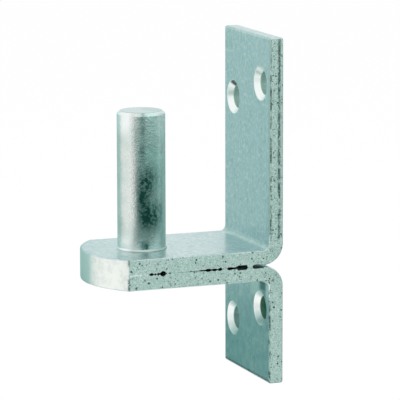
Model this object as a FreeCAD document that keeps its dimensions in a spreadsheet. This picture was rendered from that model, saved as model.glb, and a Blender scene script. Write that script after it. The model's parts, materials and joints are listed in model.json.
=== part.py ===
# Screw-on gate hinge pin, in millimetres.
#
# A flat steel bar is folded back on itself into a double tongue, and its two legs are
# bent up and down against the wall. A turned pin stands on the tongue: its shoulder
# rests on the top layer, its spigot goes through both layers, and its end is riveted
# over into a countersink underneath. The gate's eye drops over the pin and turns on it.
#
# The frame is the pin's own: the origin lies on the pin's axis, on the tongue's top
# face, +Z runs up the pin and +Y points at the wall.

import FreeCAD, Part
import math
import os

import Sketcher

PARTS_FOLDER = "parts"

# Every driving dimension: its name in the sheet, its size and what it measures.
SIZES = [
    ("bar_width", 40.0, "width of the flat bar"),
    ("bar_thickness", 5.0, "thickness of the flat bar"),
    ("bend_inner", 2.0, "inside radius of the two bends at the wall"),
    ("seam_gap", 0.4, "slit between the two layers of the tongue"),
    ("upper_leg", 70.3, "top of the wall plate above the tongue"),
    ("lower_leg", 34.9, "foot of the wall plate below the tongue"),
    ("clear_gap", 29.5, "clear space between the pin and the wall plate"),
    ("nose_reach", 20.0, "tip of the nose in front of the pin's axis"),
    ("nose_crown", 8.4, "how far the nose's tip stands out past its corners"),
    ("fold_solid", 14.0, "closed metal from the nose's tip to the end of the slit"),
    ("edge_round", 0.5, "rounding of the bar's rolled edges and of the nose"),
    ("end_round", 0.3, "rounding of the wall plate's two sheared ends"),
    ("pin_diameter", 16.0, "diameter of the pin"),
    ("pin_height", 46.0, "height of the pin above the tongue"),
    ("pin_chamfer", 1.0, "chamfer round the pin's top"),
    ("foot_ring", 0.4, "how far the ring at the pin's foot stands out"),
    ("foot_ring_height", 0.6, "height of the ring at the pin's foot"),
    ("spigot_diameter", 12.0, "diameter of the spigot through the tongue"),
    ("rivet_sink", 1.8, "depth of the countersink that the riveted end fills"),
    ("rivet_crown", 0.5, "how far the riveted end bulges below the tongue"),
    ("screw_hole", 7.6, "diameter of the screw holes"),
    ("screw_rim", 11.3, "diameter of the screw holes' countersunk rims"),
    ("screw_edge", 8.0, "middle of each screw hole in from the bar's edge"),
    ("upper_hole", 47.0, "lower screw hole of the upper pair above the tongue"),
    ("upper_stagger", 7.5, "how much higher its neighbour sits"),
    ("lower_hole", 10.6, "upper screw hole of the lower pair below the tongue"),
    ("lower_stagger", 8.0, "how much lower its neighbour sits"),
]

COUNTERSINK_ANGLE = 90.0
# The bar is folded this much too long and a cutter runs this far past the metal.
CUT_ALLOWANCE = 2.0
# Two coordinates closer than this are the same one.
SAME = 1e-4
# A cut has to take off at least this many cubic millimetres.
LEAST_CUT = 1.0
# A sketch's numbers for a stretch's first and last point and for a circle's middle.
POINT_INDEX = {"first": 1, "last": 2, "middle": 3}
# A sketch's numbers for its own first and second axis.
AXIS_INDEX = {"first": -1, "second": -2}
# Where an arc's angles point, in degrees from the sketch's first axis.
STRAIGHT_UP, STRAIGHT_DOWN = 90, 270

# Distances that several sketches share, as formulas of the sheet's cells.
PIN_RADIUS = "Sizes.pin_diameter / 2"
TONGUE_DEPTH = "2 * Sizes.bar_thickness + Sizes.seam_gap"
FRONT_FACE = "Sizes.pin_diameter / 2 + Sizes.clear_gap"
HALF_WIDTH = "Sizes.bar_width / 2"
RIVET_RADIUS = "Sizes.spigot_diameter / 2 + Sizes.rivet_sink"
HOLE_ACROSS = "Sizes.bar_width / 2 - Sizes.screw_edge"


def make_sheet(doc):
    """The sheet of driving dimensions, one row each: name, size and meaning."""
    sheet = doc.addObject("Spreadsheet::Sheet", "Sizes")
    for row, (alias, size, meaning) in enumerate(SIZES, start=1):
        sheet.set("A%d" % row, alias)
        sheet.set("B%d" % row, str(size))
        sheet.set("C%d" % row, meaning)
        sheet.setAlias("B%d" % row, alias)
    doc.recompute()
    return sheet


def new_body(doc, label):
    """An empty body whose label names its sub-part."""
    body = doc.addObject("PartDesign::Body", label)
    body.Label = label
    return body


def new_sketch(body, name, role, offset=None):
    """A sketch on one of the body's origin planes, or moved off it by a formula."""
    plane = next(o for o in body.Origin.OriginFeatures if o.Role == role)
    sketch = body.newObject("Sketcher::SketchObject", name)
    sketch.AttachmentSupport = [(plane, "")]
    sketch.MapMode = "FlatFace"
    if offset:
        sketch.setExpression(".AttachmentOffset.Base.z", offset)
    return sketch


class Outline:
    """A closed outline, drawn end to end round a sketch.

    Each stretch is joined to the one before it, smoothly where asked. A stretch is
    known by its number in the sketch, and its ends by START and END along the walk.
    """

    START, END = "start", "end"

    def __init__(self, sketch):
        self.sketch = sketch
        self.ends = []

    def add(self, geometry, start, end, smooth):
        """Adds a stretch whose walk goes from sketch point start to point end."""
        number = self.sketch.addGeometry(geometry, False)
        self.ends.append({self.START: start, self.END: end})
        if number:
            self.join(number - 1, number, smooth)
        return number

    def join(self, before, after, smooth):
        kind = "Tangent" if smooth else "Coincident"
        ends = (before, self.ends[before][self.END], after, self.ends[after][self.START])
        self.sketch.addConstraint(Sketcher.Constraint(kind, *ends))

    def line(self, start, end, smooth=False):
        """A straight stretch, kept level or upright where it is drawn so."""
        first, last = FreeCAD.Vector(*start, 0), FreeCAD.Vector(*end, 0)
        number = self.add(Part.LineSegment(first, last), POINT_INDEX["first"], POINT_INDEX["last"], smooth)
        if abs(first.y - last.y) < SAME:
            self.sketch.addConstraint(Sketcher.Constraint("Horizontal", number))
        elif abs(first.x - last.x) < SAME:
            self.sketch.addConstraint(Sketcher.Constraint("Vertical", number))
        return number

    def arc(self, centre, radius, start, end, smooth=True):
        """An arc between two angles in degrees, backwards where end is the smaller."""
        circle = Part.Circle(FreeCAD.Vector(*centre, 0), FreeCAD.Vector(0, 0, 1), radius)
        low, high = math.radians(min(start, end)), math.radians(max(start, end))
        ends = [POINT_INDEX["first"], POINT_INDEX["last"]]
        if end < start:
            ends.reverse()
        return self.add(Part.ArcOfCircle(circle, low, high), *ends, smooth)

    def circle(self, centre, radius):
        """A full circle that stands by itself and is placed by its middle."""
        whole = Part.Circle(FreeCAD.Vector(*centre, 0), FreeCAD.Vector(0, 0, 1), radius)
        number = self.sketch.addGeometry(whole, False)
        self.ends.append({self.START: POINT_INDEX["middle"], self.END: POINT_INDEX["middle"]})
        return number

    def close(self, smooth=False):
        self.join(len(self.ends) - 1, 0, smooth)

    def along(self, name, number, end, formula, negative=False):
        """Ties an end's distance along the sketch's first axis to a formula."""
        self.measure("DistanceX", name, number, end, formula, negative)

    def up(self, name, number, end, formula, negative=False):
        """Ties an end's distance along the sketch's second axis to a formula."""
        self.measure("DistanceY", name, number, end, formula, negative)

    def measure(self, kind, name, number, end, formula, negative):
        position = self.ends[number][end]
        point = self.sketch.getPoint(number, position)
        size = abs(point.x if kind == "DistanceX" else point.y)
        references = [AXIS_INDEX["first"], POINT_INDEX["first"], number, position]
        if negative:
            references = [number, position, AXIS_INDEX["first"], POINT_INDEX["first"]]
        self.bind(Sketcher.Constraint(kind, *references, size), name, formula)

    def radius(self, name, number, formula):
        size = self.sketch.Geometry[number].Radius
        self.bind(Sketcher.Constraint("Radius", number, size), name, formula)

    def on_axis(self, number, end, axis):
        """Keeps an end on the sketch's first or second axis."""
        ends = (number, self.ends[number][end], axis)
        self.sketch.addConstraint(Sketcher.Constraint("PointOnObject", *ends))

    def bind(self, constraint, name, formula):
        self.sketch.addConstraint(constraint)
        self.sketch.renameConstraint(self.sketch.ConstraintCount - 1, name)
        self.sketch.setExpression("Constraints." + name, formula)


def cut_size(feature):
    """How much a cutting feature took off, in cubic millimetres."""
    removed = feature.BaseFeature.Shape.Volume - feature.Shape.Volume
    if removed < LEAST_CUT:
        raise RuntimeError("%s cuts nothing" % feature.Name)
    return removed


def middle(edge):
    return edge.valueAt((edge.FirstParameter + edge.LastParameter) / 2)


def edge_names(shape, wanted):
    """The names of the edges of a shape that pass a test."""
    return ["Edge%d" % (i + 1) for i, edge in enumerate(shape.Edges) if wanted(edge)]


def add_fillet(body, name, base, wanted, formula):
    """Rounds the edges of base that pass a test."""
    names = edge_names(base.Shape, wanted)
    if not names:
        raise RuntimeError("%s finds no edge" % name)
    fillet = body.newObject("PartDesign::Fillet", name)
    fillet.Base = (base, names)
    fillet.setExpression("Radius", formula)
    body.Document.recompute()
    return fillet


def draw_bar(body, sheet):
    """The bar's side view: one leg up, the folded tongue, one leg down.

    The sketch lies across the wall, with the pin's axis as its second axis. The walk
    starts at the top of the upper leg, goes down its front, out along the tongue, back
    under it, down the lower leg, and home by the back and both sides of the slit.
    """
    thick, inner = sheet.bar_thickness, sheet.bend_inner
    outer = inner + thick
    front = sheet.pin_diameter / 2 + sheet.clear_gap
    back = front + thick
    bend = front - inner
    top, under = sheet.upper_leg, -(2 * thick + sheet.seam_gap)
    foot = under - sheet.lower_leg
    nose = -(sheet.nose_reach + CUT_ALLOWANCE)
    slit_end = sheet.fold_solid - sheet.nose_reach
    slit_low = -(thick + sheet.seam_gap)
    slit_middle = -(thick + sheet.seam_gap / 2)

    sketch = new_sketch(body, "BarSideView", "YZ_Plane")
    walk = Outline(sketch)
    upper_front = walk.line((front, top), (front, inner))
    upper_inside = walk.arc((bend, inner), inner, 0, -90)
    tongue_top = walk.line((bend, 0), (nose, 0), smooth=True)
    nose_wall = walk.line((nose, 0), (nose, under))
    tongue_under = walk.line((nose, under), (bend, under))
    lower_inside = walk.arc((bend, under - inner), inner, 90, 0)
    lower_front = walk.line((front, under - inner), (front, foot), smooth=True)
    foot_end = walk.line((front, foot), (back, foot))
    lower_back = walk.line((back, foot), (back, under - inner))
    lower_outside = walk.arc((bend, under - inner), outer, 0, 90)
    slit_floor = walk.line((bend, slit_low), (slit_end, slit_low), smooth=True)
    slit_round = walk.arc(
        (slit_end, slit_middle), sheet.seam_gap / 2, STRAIGHT_DOWN, STRAIGHT_UP
    )
    slit_roof = walk.line((slit_end, -thick), (bend, -thick), smooth=True)
    upper_outside = walk.arc((bend, inner), outer, -90, 0)
    upper_back = walk.line((back, inner), (back, top), smooth=True)
    walk.line((back, top), (front, top))
    walk.close()

    start, end = Outline.START, Outline.END
    back_face = FRONT_FACE + " + Sizes.bar_thickness"
    walk.along("upper_front_face", upper_front, start, FRONT_FACE)
    walk.along("lower_front_face", lower_front, end, FRONT_FACE)
    walk.along("upper_back_face", upper_back, end, back_face)
    walk.along("lower_back_face", lower_back, start, back_face)
    walk.up("plate_top", upper_front, start, "Sizes.upper_leg")
    walk.up("plate_foot", foot_end, start, TONGUE_DEPTH + " + Sizes.lower_leg", negative=True)
    walk.on_axis(tongue_top, end, AXIS_INDEX["first"])
    walk.up("tongue_underside", tongue_under, start, TONGUE_DEPTH, negative=True)
    walk.along(
        "nose_blank", nose_wall, end, "Sizes.nose_reach + %s" % CUT_ALLOWANCE, negative=True
    )
    walk.along(
        "slit_depth", slit_roof, start, "Sizes.nose_reach - Sizes.fold_solid", negative=True
    )
    walk.up("slit_roof_level", slit_roof, start, "Sizes.bar_thickness", negative=True)
    walk.up(
        "slit_floor_level", slit_floor, end, "Sizes.bar_thickness + Sizes.seam_gap", negative=True
    )
    for name, number in (("upper_inside", upper_inside), ("lower_inside", lower_inside)):
        walk.radius(name, number, "Sizes.bend_inner")
    for name, number in (("upper_outside", upper_outside), ("lower_outside", lower_outside)):
        walk.radius(name, number, "Sizes.bend_inner + Sizes.bar_thickness")
    return sketch


def draw_nose_cut(body, sheet):
    """What is cut off round the nose: all that lies in front of its arc, seen in plan."""
    half, reach = sheet.bar_width / 2, sheet.nose_reach
    crown = sheet.nose_crown
    corner = crown - reach
    radius = (half**2 + crown**2) / (2 * crown)
    swing = math.degrees(math.asin(half / radius))
    side, ahead = half + CUT_ALLOWANCE, -(reach + 2 * CUT_ALLOWANCE)

    sketch = new_sketch(body, "NosePlan", "XY_Plane")
    walk = Outline(sketch)
    nose_arc = walk.arc(
        (0, radius - reach), radius, STRAIGHT_DOWN - swing, STRAIGHT_DOWN + swing
    )
    walk.line((half, corner), (side, corner))
    right_side = walk.line((side, corner), (side, ahead))
    front_side = walk.line((side, ahead), (-side, ahead))
    walk.line((-side, ahead), (-side, corner))
    left_end = walk.line((-side, corner), (-half, corner))
    walk.close()

    start, end = Outline.START, Outline.END
    corner_line = "Sizes.nose_reach - Sizes.nose_crown"
    walk.along("left_corner", nose_arc, start, HALF_WIDTH, negative=True)
    walk.along("right_corner", nose_arc, end, HALF_WIDTH)
    walk.up("left_corner_line", left_end, end, corner_line, negative=True)
    walk.up("right_corner_line", nose_arc, end, corner_line, negative=True)
    crown_radius = "((Sizes.bar_width / 2) ^ 2 + Sizes.nose_crown ^ 2) / (2 * Sizes.nose_crown)"
    walk.radius("nose_radius", nose_arc, crown_radius)
    walk.along("right_margin", right_side, end, "%s + %s" % (HALF_WIDTH, CUT_ALLOWANCE))
    walk.along("left_margin", front_side, end, "%s + %s" % (HALF_WIDTH, CUT_ALLOWANCE), True)
    walk.up("front_margin", front_side, end, "Sizes.nose_reach + %s" % (2 * CUT_ALLOWANCE), True)
    return sketch


def draw_pin_hole(body, sheet):
    """Half the section of the hole for the spigot, countersunk under the tongue."""
    spigot = sheet.spigot_diameter / 2
    rivet = spigot + sheet.rivet_sink
    under = -(2 * sheet.bar_thickness + sheet.seam_gap)
    above, below = CUT_ALLOWANCE, under - CUT_ALLOWANCE

    sketch = new_sketch(body, "PinHoleSection", "XZ_Plane")
    walk = Outline(sketch)
    axis = walk.line((0, below), (0, above))
    top = walk.line((0, above), (spigot, above))
    wall = walk.line((spigot, above), (spigot, under + sheet.rivet_sink))
    sink = walk.line((spigot, under + sheet.rivet_sink), (rivet, under))
    walk.line((rivet, under), (rivet, below))
    walk.line((rivet, below), (0, below))
    walk.close()

    start, end = Outline.START, Outline.END
    walk.on_axis(axis, start, AXIS_INDEX["second"])
    walk.up("above", top, end, str(CUT_ALLOWANCE))
    walk.up("below", axis, start, "%s + %s" % (TONGUE_DEPTH, CUT_ALLOWANCE), negative=True)
    walk.along("spigot_radius", wall, start, "Sizes.spigot_diameter / 2")
    walk.up("sink_start", wall, end, TONGUE_DEPTH + " - Sizes.rivet_sink", negative=True)
    walk.along("rivet_radius", sink, end, RIVET_RADIUS)
    walk.up("sink_end", sink, end, TONGUE_DEPTH, negative=True)
    return sketch


def draw_screw_holes(body, sheet):
    """The centres of the four screw holes on the wall plate's front face."""
    under = 2 * sheet.bar_thickness + sheet.seam_gap
    across = sheet.bar_width / 2 - sheet.screw_edge
    near_upper = "Sizes.upper_hole + Sizes.upper_stagger"
    near_lower = TONGUE_DEPTH + " + Sizes.lower_hole"
    centres = [
        ("far_upper", -1, sheet.upper_hole, "Sizes.upper_hole"),
        ("near_upper", 1, sheet.upper_hole + sheet.upper_stagger, near_upper),
        ("near_lower", 1, -(under + sheet.lower_hole), near_lower),
        (
            "far_lower",
            -1,
            -(under + sheet.lower_hole + sheet.lower_stagger),
            near_lower + " + Sizes.lower_stagger",
        ),
    ]
    sketch = new_sketch(body, "ScrewHoleCentres", "XZ_Plane", offset="-(%s)" % FRONT_FACE)
    drawing = Outline(sketch)
    for name, side, height, formula in centres:
        hole = drawing.circle((side * across, height), sheet.screw_hole / 2)
        drawing.radius(name + "_radius", hole, "Sizes.screw_hole / 2")
        drawing.along(name + "_across", hole, Outline.END, HOLE_ACROSS, side < 0)
        drawing.up(name + "_height", hole, Outline.END, formula, height < 0)
    return sketch


def make_folded_plate(doc, sheet):
    """The folded bar: tongue, nose, both legs of the wall plate and all its holes."""
    body = new_body(doc, "folded_plate")
    half = sheet.bar_width / 2
    corner = sheet.nose_crown - sheet.nose_reach
    top = sheet.upper_leg
    foot = -(2 * sheet.bar_thickness + sheet.seam_gap + sheet.lower_leg)

    bar = body.newObject("PartDesign::Pad", "FoldedBar")
    bar.Profile = draw_bar(body, sheet)
    bar.SideType = "Symmetric"
    bar.setExpression("Length", "Sizes.bar_width")
    doc.recompute()

    nose = body.newObject("PartDesign::Pocket", "RoundNose")
    nose.Profile = draw_nose_cut(body, sheet)
    nose.Type = "ThroughAll"
    doc.recompute()
    print("nose cut: %.0f mm3" % cut_size(nose))

    def at_end(edge):
        heights = [vertex.Z for vertex in edge.Vertexes]
        return all(abs(z - top) < SAME for z in heights) or all(abs(z - foot) < SAME for z in heights)

    def on_nose(edge):
        return middle(edge).y < corner - SAME and abs(edge.Vertexes[0].Y - corner) < SAME

    def is_crease(edge):
        return all(abs(vertex.Y - corner) < SAME for vertex in edge.Vertexes)

    def is_rolled(edge):
        on_side = all(abs(abs(vertex.X) - half) < SAME for vertex in edge.Vertexes)
        return on_side and abs(abs(middle(edge).x) - half) < SAME and not is_crease(edge)

    def is_long(edge):
        return is_rolled(edge) and not at_end(edge)

    rim = add_fillet(body, "NoseEdges", nose, on_nose, "Sizes.edge_round")
    edges = add_fillet(body, "RolledEdges", rim, is_long, "Sizes.edge_round")
    ends = add_fillet(body, "ShearedEnds", edges, at_end, "Sizes.end_round")

    pin_hole = body.newObject("PartDesign::Groove", "PinHole")
    section = draw_pin_hole(body, sheet)
    pin_hole.Profile = section
    pin_hole.ReferenceAxis = (section, ["V_Axis"])
    pin_hole.Angle = 360
    doc.recompute()
    print("pin hole: %.0f mm3" % cut_size(pin_hole))

    centres = draw_screw_holes(body, sheet)
    doc.recompute()
    screws = body.newObject("PartDesign::Hole", "ScrewHoles")
    screws.Profile = centres
    doc.recompute()
    screws.DepthType = "ThroughAll"
    screws.HoleCutType = "Countersink"
    screws.HoleCutCountersinkAngle = COUNTERSINK_ANGLE
    screws.setExpression("Diameter", "Sizes.screw_hole")
    screws.setExpression("HoleCutDiameter", "Sizes.screw_rim")
    doc.recompute()
    print("screw holes: %.0f mm3" % cut_size(screws))
    return body


def make_hinge_pin(doc, sheet):
    """The turned pin: chamfered shank, foot ring, spigot and riveted end."""
    body = new_body(doc, "hinge_pin")
    shank, spigot = sheet.pin_diameter / 2, sheet.spigot_diameter / 2
    ring = shank + sheet.foot_ring
    rivet = spigot + sheet.rivet_sink
    top, chamfer = sheet.pin_height, sheet.pin_chamfer
    under = -(2 * sheet.bar_thickness + sheet.seam_gap)
    crown = sheet.rivet_crown
    crown_radius = (rivet**2 + crown**2) / (2 * crown)
    swing = math.degrees(math.asin(rivet / crown_radius))

    sketch = new_sketch(body, "PinSection", "XZ_Plane")
    walk = Outline(sketch)
    axis = walk.line((0, under - crown), (0, top))
    top_face = walk.line((0, top), (shank - chamfer, top))
    walk.line((shank - chamfer, top), (shank, top - chamfer))
    side = walk.line((shank, top - chamfer), (shank, sheet.foot_ring_height))
    ring_slope = walk.line((shank, sheet.foot_ring_height), (ring, 0))
    shoulder = walk.line((ring, 0), (spigot, 0))
    spigot_wall = walk.line((spigot, 0), (spigot, under + sheet.rivet_sink))
    sink = walk.line((spigot, under + sheet.rivet_sink), (rivet, under))
    dome = walk.arc(
        (0, under - crown + crown_radius),
        crown_radius,
        STRAIGHT_DOWN + swing,
        STRAIGHT_DOWN,
        smooth=False,
    )
    walk.close()

    start, end = Outline.START, Outline.END
    walk.on_axis(axis, start, AXIS_INDEX["second"])
    walk.up("pin_top", axis, end, "Sizes.pin_height")
    walk.along("top_radius", top_face, end, PIN_RADIUS + " - Sizes.pin_chamfer")
    walk.along("pin_radius", side, start, PIN_RADIUS)
    walk.up("chamfer_foot", side, start, "Sizes.pin_height - Sizes.pin_chamfer")
    walk.up("ring_top", side, end, "Sizes.foot_ring_height")
    walk.along("ring_radius", ring_slope, end, PIN_RADIUS + " + Sizes.foot_ring")
    walk.on_axis(shoulder, start, AXIS_INDEX["first"])
    walk.along("spigot_radius", spigot_wall, start, "Sizes.spigot_diameter / 2")
    walk.up("sink_start", spigot_wall, end, TONGUE_DEPTH + " - Sizes.rivet_sink", negative=True)
    walk.along("rivet_radius", sink, end, RIVET_RADIUS)
    walk.up("sink_end", sink, end, TONGUE_DEPTH, negative=True)
    walk.up("crown", dome, end, TONGUE_DEPTH + " + Sizes.rivet_crown", negative=True)
    walk.radius(
        "crown_radius",
        dome,
        "((%s) ^ 2 + Sizes.rivet_crown ^ 2) / (2 * Sizes.rivet_crown)" % RIVET_RADIUS,
    )

    turned = body.newObject("PartDesign::Revolution", "TurnedPin")
    turned.Profile = sketch
    turned.ReferenceAxis = (sketch, ["V_Axis"])
    turned.Angle = 360
    doc.recompute()
    return body


def check(doc, bodies):
    """Stops if a feature failed, a sketch is loose or a sub-part is not one solid."""
    for thing in doc.Objects:
        if "Invalid" in thing.State or "Error" in thing.State:
            raise RuntimeError("%s failed: %s" % (thing.Name, thing.State))
        if thing.isDerivedFrom("Sketcher::SketchObject") and not thing.FullyConstrained:
            raise RuntimeError("%s is not fully constrained" % thing.Name)
    for body in bodies:
        shape = body.Shape
        if shape.isNull() or not shape.isValid() or len(shape.Solids) != 1:
            raise RuntimeError("%s is not one sound solid" % body.Label)


def main():
    doc = FreeCAD.newDocument("GateHingePin")
    sheet = make_sheet(doc)
    bodies = [make_folded_plate(doc, sheet), make_hinge_pin(doc, sheet)]
    doc.recompute()
    check(doc, bodies)

    os.makedirs(PARTS_FOLDER, exist_ok=True)
    for body in bodies:
        box = body.Shape.BoundBox
        body.Shape.exportStep(os.path.join(PARTS_FOLDER, body.Label + ".step"))
        size = (box.XLength, box.YLength, box.ZLength, body.Shape.Volume)
        print("%s: %.2f x %.2f x %.2f mm, %.0f mm3" % (body.Label, *size))


main()
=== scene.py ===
# %% [markdown]
# # A screw-on gate hinge pin
#
# The real thing is a flat steel bar that is folded back on itself into a double tongue.
# One leg of the bar is bent up against the post, the other leg down, and four countersunk
# screws hold them. A turned pin stands on the tongue, and the eye of the gate's hinge
# drops over it. All of it is plated with zinc.
#
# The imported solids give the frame: +Z runs up the pin, +Y points at the post, and the
# origin lies on the pin's axis, on top of the tongue. Everything here is in metres, in
# that same frame, so a piece goes where the solid is and needs no fitting.

import json
import math

import bmesh
import bpy
from mathutils import Matrix, Vector

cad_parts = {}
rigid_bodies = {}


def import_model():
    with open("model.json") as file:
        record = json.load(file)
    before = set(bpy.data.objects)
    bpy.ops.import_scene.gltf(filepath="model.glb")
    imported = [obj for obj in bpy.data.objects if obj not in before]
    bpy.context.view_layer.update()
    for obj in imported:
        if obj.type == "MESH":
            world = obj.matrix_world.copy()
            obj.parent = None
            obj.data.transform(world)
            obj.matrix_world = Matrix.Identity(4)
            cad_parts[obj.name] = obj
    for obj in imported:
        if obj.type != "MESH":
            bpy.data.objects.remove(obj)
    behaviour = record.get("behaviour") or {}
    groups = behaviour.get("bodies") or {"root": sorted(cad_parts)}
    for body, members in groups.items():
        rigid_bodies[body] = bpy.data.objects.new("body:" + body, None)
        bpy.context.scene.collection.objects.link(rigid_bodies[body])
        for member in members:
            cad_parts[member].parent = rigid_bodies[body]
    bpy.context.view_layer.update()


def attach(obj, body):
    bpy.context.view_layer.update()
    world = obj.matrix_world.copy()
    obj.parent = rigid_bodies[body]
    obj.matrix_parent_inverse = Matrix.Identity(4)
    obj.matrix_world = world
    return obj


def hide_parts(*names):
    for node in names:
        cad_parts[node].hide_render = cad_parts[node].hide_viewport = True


for thing in list(bpy.data.objects):
    bpy.data.objects.remove(thing)
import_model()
MM = 0.001

# %% [markdown]
# ## The sizes
#
# The bar is stock flat bar, 40 by 5 mm, and most other places follow from its thickness
# and from the bends. They are kept as named numbers, so that the fold, the holes and the
# finish all agree about where the metal is.

# %% Sizes of the bar and the pin
HALF_WIDTH = 20 * MM
THICKNESS = 5 * MM
SLIT = 0.4 * MM
BEND_INSIDE = 2 * MM
PLATE_FRONT = 37.5 * MM
PLATE_BACK = PLATE_FRONT + THICKNESS
PLATE_TOP = 70.3 * MM
TONGUE_UNDER = -(2 * THICKNESS + SLIT)
SLIT_MIDDLE = TONGUE_UNDER / 2
PLATE_FOOT = TONGUE_UNDER - 34.9 * MM
BEND_START = PLATE_FRONT - BEND_INSIDE
SLIT_END = -6 * MM
NOSE_REACH = 20 * MM
NOSE_CROWN = 8.4 * MM
NOSE_RADIUS = (HALF_WIDTH**2 + NOSE_CROWN**2) / (2 * NOSE_CROWN)
NOSE_CORNER = NOSE_CROWN - NOSE_REACH
SCREW_RADIUS, RIM_RADIUS = 3.8 * MM, 5.65 * MM
SCREW_PLACES = [(-12, 47), (12, 54.5), (12, -21), (-12, -29)]
PIN_RADIUS, PIN_TOP = 8 * MM, 46 * MM
SPIGOT_RADIUS, RIVET_RADIUS, RIVET_SINK = 6 * MM, 7.8 * MM, 1.8 * MM
print("tongue from %.1f to 0 mm, nose arc of %.1f mm" % (TONGUE_UNDER / MM, NOSE_RADIUS / MM))

# %% [markdown]
# ## Working in edit mode from code
#
# An operator acts on whatever is selected, and the solids are still selected after
# loading. So each piece starts with nothing selected, and before each operator the
# corners, edges or faces that it needs are picked by their place or by the way they face.

# %% Helpers for modelling
SAME = 0.02 * MM
TINY = 0.001 * MM


def near(value, place, slack=SAME):
    return abs(value - place) < slack


def nothing_selected():
    """Back to object mode, with no object selected."""
    if bpy.context.mode != "OBJECT":
        bpy.ops.object.mode_set(mode="OBJECT")
    bpy.ops.object.select_all(action="DESELECT")


def start_piece(name):
    """Names the primitive that was just added, puts its place in its mesh and edits it."""
    piece = bpy.context.object
    piece.name = piece.data.name = name
    bpy.ops.object.transform_apply(location=True, rotation=True, scale=True)
    bpy.ops.object.mode_set(mode="EDIT")
    return piece


def pick(piece, kind, wanted):
    """Selects only the corners, edges or faces that pass a test, and says how many."""
    bpy.ops.mesh.select_mode(type=kind)
    bpy.ops.mesh.select_all(action="DESELECT")
    shape = bmesh.from_edit_mesh(piece.data)
    parts = {"VERT": shape.verts, "EDGE": shape.edges, "FACE": shape.faces}[kind]
    chosen = [part for part in parts if wanted(part)]
    for part in chosen:
        part.select_set(True)
    shape.select_flush_mode()
    bmesh.update_edit_mesh(piece.data)
    return len(chosen)


def pull(x=0, y=0, z=0):
    """Extrudes what is selected along one move."""
    bpy.ops.mesh.extrude_region_move(TRANSFORM_OT_translate={"value": (x, y, z)})


def report(piece):
    """Prints a piece's box in millimetres, its faces and how many edges aren't closed."""
    shape = bmesh.from_edit_mesh(piece.data)
    box = [[round(pick_end(corner.co[axis] for corner in shape.verts) / MM, 2)
            for pick_end in (min, max)] for axis in range(3)]
    loose = sum(not edge.is_manifold for edge in shape.edges)
    print(piece.name, "box", box, "with", len(shape.faces), "faces,", loose, "open edges")


def ends(edge):
    return edge.verts[0].co, edge.verts[1].co


def middle_of(edge):
    return (edge.verts[0].co + edge.verts[1].co) / 2


# %% [markdown]
# ## The nose
#
# The fold at the tongue's front is pressed shut and its outline is cut to a shallow arc
# with two corners. A box for the closed fold is added first. Its arc is cut with a row of
# flat cuts that all touch the same circle, each of which throws away what lies in front
# of it and closes the wound. That gives clean upright facets of the same size, and the
# circle is exactly the solid's.

# %% The closed fold and its arc
nothing_selected()
block_front = -NOSE_REACH - 2 * MM
bpy.ops.mesh.primitive_cube_add(
    size=1,
    location=(0, (block_front + SLIT_END) / 2, SLIT_MIDDLE),
    scale=(2 * HALF_WIDTH, SLIT_END - block_front, -TONGUE_UNDER),
)
bar = start_piece("zinc_bar")
NOSE_CUTS = 33
corner_angle = math.asin(HALF_WIDTH / NOSE_RADIUS)
for cut in range(NOSE_CUTS):
    angle = corner_angle * (2 * (cut + 0.5) / NOSE_CUTS - 1)
    outward = Vector((math.sin(angle), -math.cos(angle), 0))
    touch = Vector((0, NOSE_RADIUS - NOSE_REACH, 0)) + outward * NOSE_RADIUS
    bpy.ops.mesh.select_all(action="SELECT")
    bpy.ops.mesh.bisect(
        plane_co=touch, plane_no=outward, use_fill=True, clear_outer=True, threshold=TINY
    )
facets = pick(bar, "FACE", lambda face: face.normal.y < -0.1)
print("nose of", facets, "facets")

# %% [markdown]
# ## The two layers and the two legs
#
# On the bench the bar is bent the other way round, from a straight length. In the model
# it is easier to grow it from the closed fold. Two cuts part the block's back face into
# the upper layer, the end of the slit and the lower layer. Each layer's face is pulled
# back to the bend, spun a quarter turn about the bend's centre, and pulled on as the leg.

# %% Grow the layers, the bends and the legs
for height in (-THICKNESS, TONGUE_UNDER + THICKNESS):
    bpy.ops.mesh.select_all(action="SELECT")
    bpy.ops.mesh.bisect(plane_co=(0, 0, height), plane_no=(0, 0, 1), threshold=TINY)
BEND_STEPS = 20
legs = [(1, BEND_INSIDE, PLATE_TOP), (-1, TONGUE_UNDER - BEND_INSIDE, PLATE_FOOT)]
for side, bend_height, leg_end in legs:
    layer_middle = SLIT_MIDDLE + side * (SLIT + THICKNESS) / 2
    pick(bar, "FACE", lambda face: face.normal.y > 0.9
         and near(face.calc_center_median().z, layer_middle, 0.5 * MM))
    pull(y=BEND_START - SLIT_END)
    bpy.ops.mesh.spin(
        steps=BEND_STEPS,
        angle=side * math.radians(-90),
        center=(0, BEND_START, bend_height),
        axis=(1, 0, 0),
    )
    pull(z=leg_end - bend_height)
bpy.ops.mesh.select_all(action="SELECT")
bpy.ops.mesh.remove_doubles(threshold=TINY)
bpy.ops.mesh.normals_make_consistent(inside=False)
report(bar)

# %% [markdown]
# ## The slit
#
# Seen from the side, the fold doesn't close evenly. Plating bridges it in places, and
# elsewhere it gapes by up to 1.8 mm with a lumpy edge. The layers are divided finely
# along their length, so that each stretch of the slit's edge can be opened or pinched.
# The two sides of the bar differ, and 1.5 mm further in the slit keeps its plain width.
#
# The lumps come from random moves, which go by the corners' numbers. The numbers can
# change from run to run, so everything is numbered anew by its distance from one point.
# That point is far off and fits no symmetry, so no two distances are the same.

# %% Divide the layers
SKIN = 1.5 * MM
LAYER_CUTS = 82
ODD_POINT = (-0.7, -1.3, -1.9)
for place in (-HALF_WIDTH + SKIN, HALF_WIDTH - SKIN):
    bpy.ops.mesh.select_all(action="SELECT")
    bpy.ops.mesh.bisect(plane_co=(place, 0, 0), plane_no=(1, 0, 0), threshold=TINY)


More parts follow.
